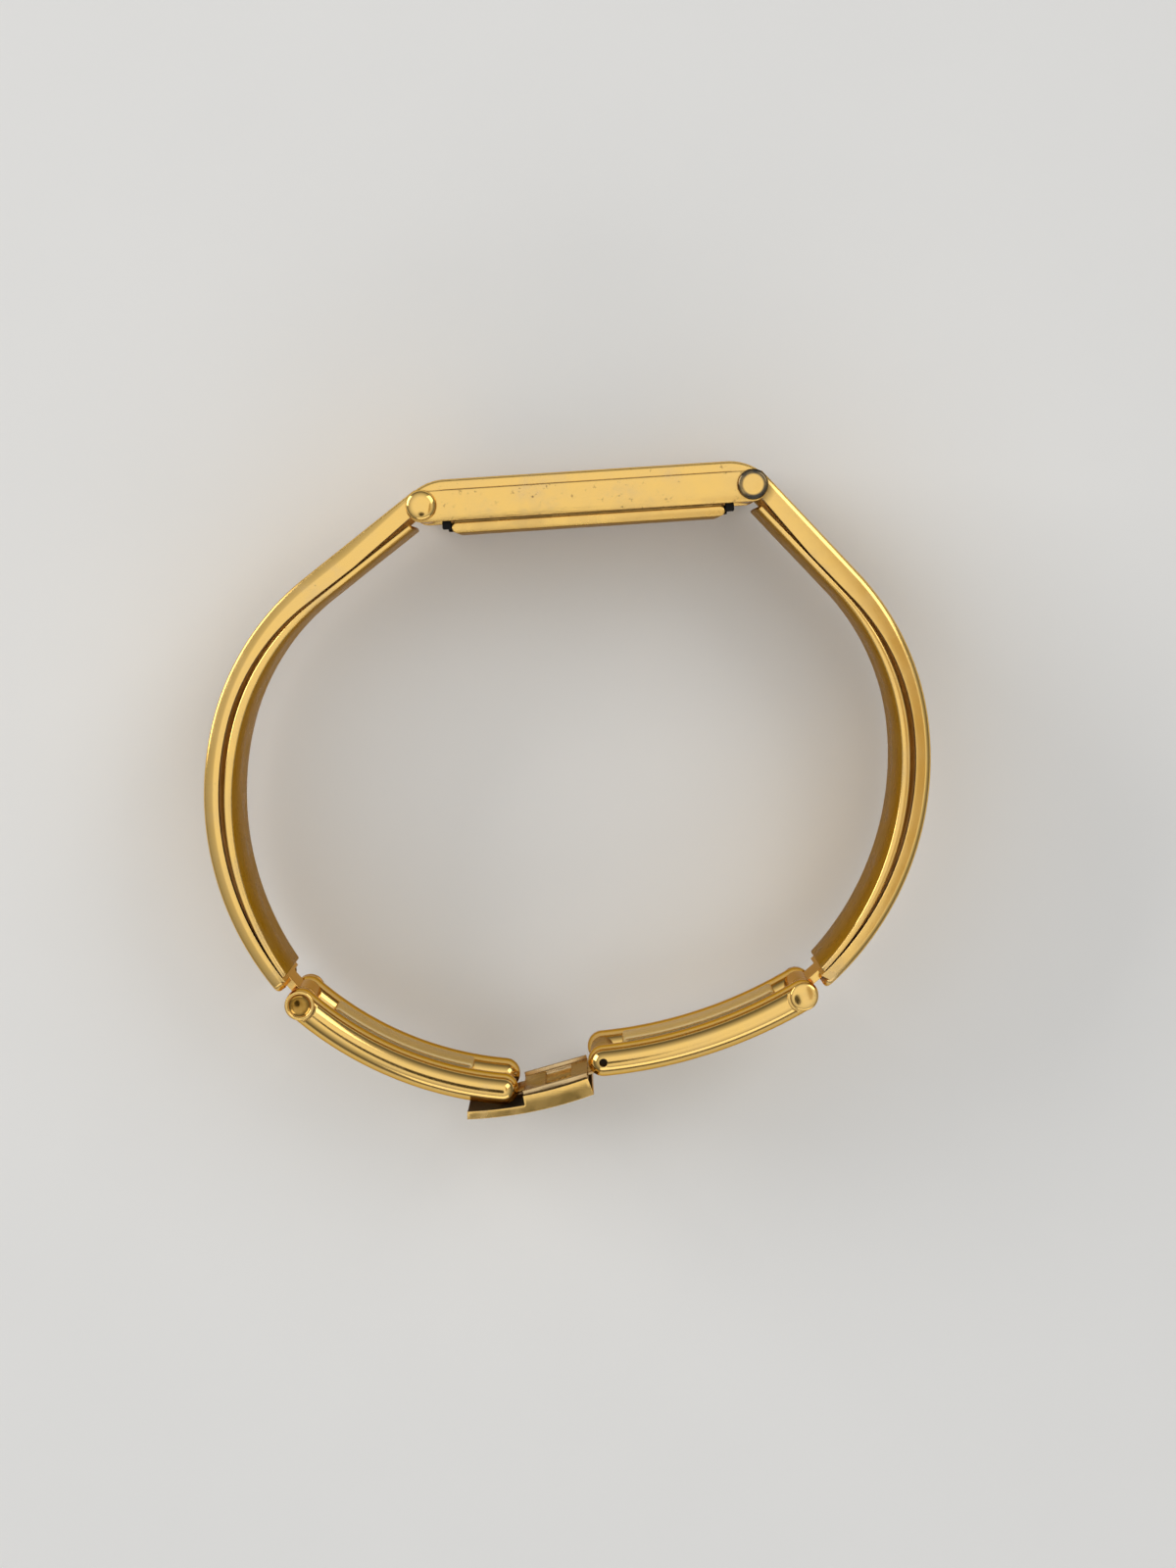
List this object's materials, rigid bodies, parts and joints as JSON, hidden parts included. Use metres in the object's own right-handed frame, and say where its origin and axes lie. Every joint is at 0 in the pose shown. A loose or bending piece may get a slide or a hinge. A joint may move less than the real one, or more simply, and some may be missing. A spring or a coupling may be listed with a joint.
{
  "type": "wristwatch",
  "caption": "Rectangular wristwatch on a hinged rigid bangle: two curved arms, rounded three-row links and a fold-over clasp, with dial, hands and battery movement inside",
  "frame": {"origin": "under the middle of the outline, at the height of the lowest point: the outer face of the crown, with the watch lying on its crown side", "axes": "X runs along the case from its left arm to its right arm as seen in the picture, Y points out of the crystal, Z is the axis of the wrist and points up"},
  "size_m": [0.0621, 0.0546, 0.0181],
  "materials": {
    "gold": "polished gold-coloured metal with fine scratches",
    "worn_gold": "gold-coloured metal, plating rubbed thin and dull",
    "steel": "plain bright steel",
    "movement_brass": "plain machined brass",
    "dial": "matt cream lacquer",
    "dark_metal": "dark lacquered hands",
    "seal": "black seal",
    "glass": "clear flat crystal",
    "holder": "white moulded plastic",
    "board": "green circuit board",
    "copper": "varnished copper winding"
  },
  "bodies": {
    "case": {"case_frame": "gold", "bezel": "gold", "crystal": "glass", "crystal_gasket": "seal", "caseback": "gold", "caseback_gasket": "seal", "left_case_pin": "gold", "right_case_pin": "worn_gold", "dial": "dial", "hour_markers": "gold", "movement_holder": "holder", "main_plate": "movement_brass", "train_bridge": "movement_brass", "battery": "steel", "battery_strap": "steel", "circuit_board": "board", "quartz_can": "steel", "coil": "copper", "coil_core": "steel", "stator": "steel", "bridge_screws": "steel", "crown_gasket": "steel"},
    "minute_arbor": {"minute_hand": "dark_metal", "cannon_pinion": "movement_brass", "centre_wheel": "movement_brass"},
    "hour_arbor": {"hour_hand": "dark_metal", "hour_wheel": "movement_brass"},
    "minute_work": {"minute_wheel": "movement_brass"},
    "third": {"third_wheel": "movement_brass"},
    "intermediate": {"intermediate_wheel": "movement_brass"},
    "magnet": {"rotor": "steel"},
    "setting": {"setting_lever": "steel"},
    "winder": {"stem": "steel", "crown": "gold"},
    "left_arm": {"left_arm_shell": "gold", "left_arm_lining": "worn_gold", "left_arm_tongue": "gold"},
    "right_arm": {"right_arm_shell": "gold", "right_arm_lining": "worn_gold", "right_arm_tongue": "gold"},
    "left_link": {"left_link_rails": "gold", "left_link_bar": "gold", "left_link_pin": "gold", "catch_bar": "gold"},
    "right_link": {"right_link_rails": "gold", "right_link_bar": "gold", "right_link_pin": "gold", "clasp_pin": "worn_gold"},
    "clasp": {"clasp_ladder": "worn_gold", "clasp_cover": "gold"}
  },
  "joints": [
    {"name": "left_arm_hinge", "type": "hinge", "parent": "case", "child": "left_arm", "pos_m": [-0.01089, 0.02521, 0.0093], "axis": [0, 0, -1], "range_deg": [0, 10]},
    {"name": "right_arm_hinge", "type": "hinge", "parent": "case", "child": "right_arm", "pos_m": [0.01711, 0.02521, 0.0093], "axis": [0, 0, 1], "range_deg": [0, 10]},
    {"name": "left_link_hinge", "type": "hinge", "parent": "left_arm", "child": "left_link", "pos_m": [-0.0242, -0.01662, 0.0093], "axis": [0, 0, 1], "range_deg": [0, 25]},
    {"name": "right_link_hinge", "type": "hinge", "parent": "right_arm", "child": "right_link", "pos_m": [0.01895, -0.01865, 0.0093], "axis": [0, 0, 1], "range_deg": [0, 30]},
    {"name": "clasp_hinge", "type": "hinge", "parent": "right_link", "child": "clasp", "pos_m": [0.00143, -0.02321, 0.0093], "axis": [0, 0, 1], "range_deg": [0, 80]},
    {"name": "minute_turn", "type": "hinge", "parent": "case", "child": "minute_arbor", "pos_m": [0.00311, 0.02472, 0.0093], "axis": [0, -1, 0], "continuous": true},
    {"name": "hour_turn", "type": "hinge", "parent": "case", "child": "hour_arbor", "pos_m": [0.00311, 0.02472, 0.0093], "axis": [0, -1, 0], "continuous": true},
    {"name": "minute_work_turn", "type": "hinge", "parent": "case", "child": "minute_work", "pos_m": [0.00094, 0.02472, 0.00829], "axis": [0, -1, 0], "continuous": true},
    {"name": "third_turn", "type": "hinge", "parent": "case", "child": "third", "pos_m": [0.00484, 0.02472, 0.0083], "axis": [0, -1, 0], "continuous": true},
    {"name": "intermediate_turn", "type": "hinge", "parent": "case", "child": "intermediate", "pos_m": [0.00676, 0.02472, 0.00847], "axis": [0, -1, 0], "continuous": true},
    {"name": "magnet_turn", "type": "hinge", "parent": "case", "child": "magnet", "pos_m": [0.00826, 0.02472, 0.00973], "axis": [0, -1, 0], "continuous": true},
    {"name": "crown_pull", "type": "slide", "parent": "case", "child": "setting", "axis": [0, 0, -1], "range_m": [0, 0.0006]},
    {"name": "crown_turn", "type": "hinge", "parent": "setting", "child": "winder", "pos_m": [0.00311, 0.02512, 0.0093], "axis": [0, 0, -1], "continuous": true}
  ],
  "couplings": [
    {"joint": "right_arm_hinge", "follows": "left_arm_hinge", "ratio": 1},
    {"joint": "clasp_hinge", "follows": "left_arm_hinge", "ratio": 8},
    {"joint": "minute_turn", "follows": "third_turn", "ratio": -0.33333},
    {"joint": "hour_turn", "follows": "third_turn", "ratio": -0.027778},
    {"joint": "minute_work_turn", "follows": "third_turn", "ratio": 0.11111},
    {"joint": "intermediate_turn", "follows": "third_turn", "ratio": -5},
    {"joint": "magnet_turn", "follows": "third_turn", "ratio": 30}
  ]
}
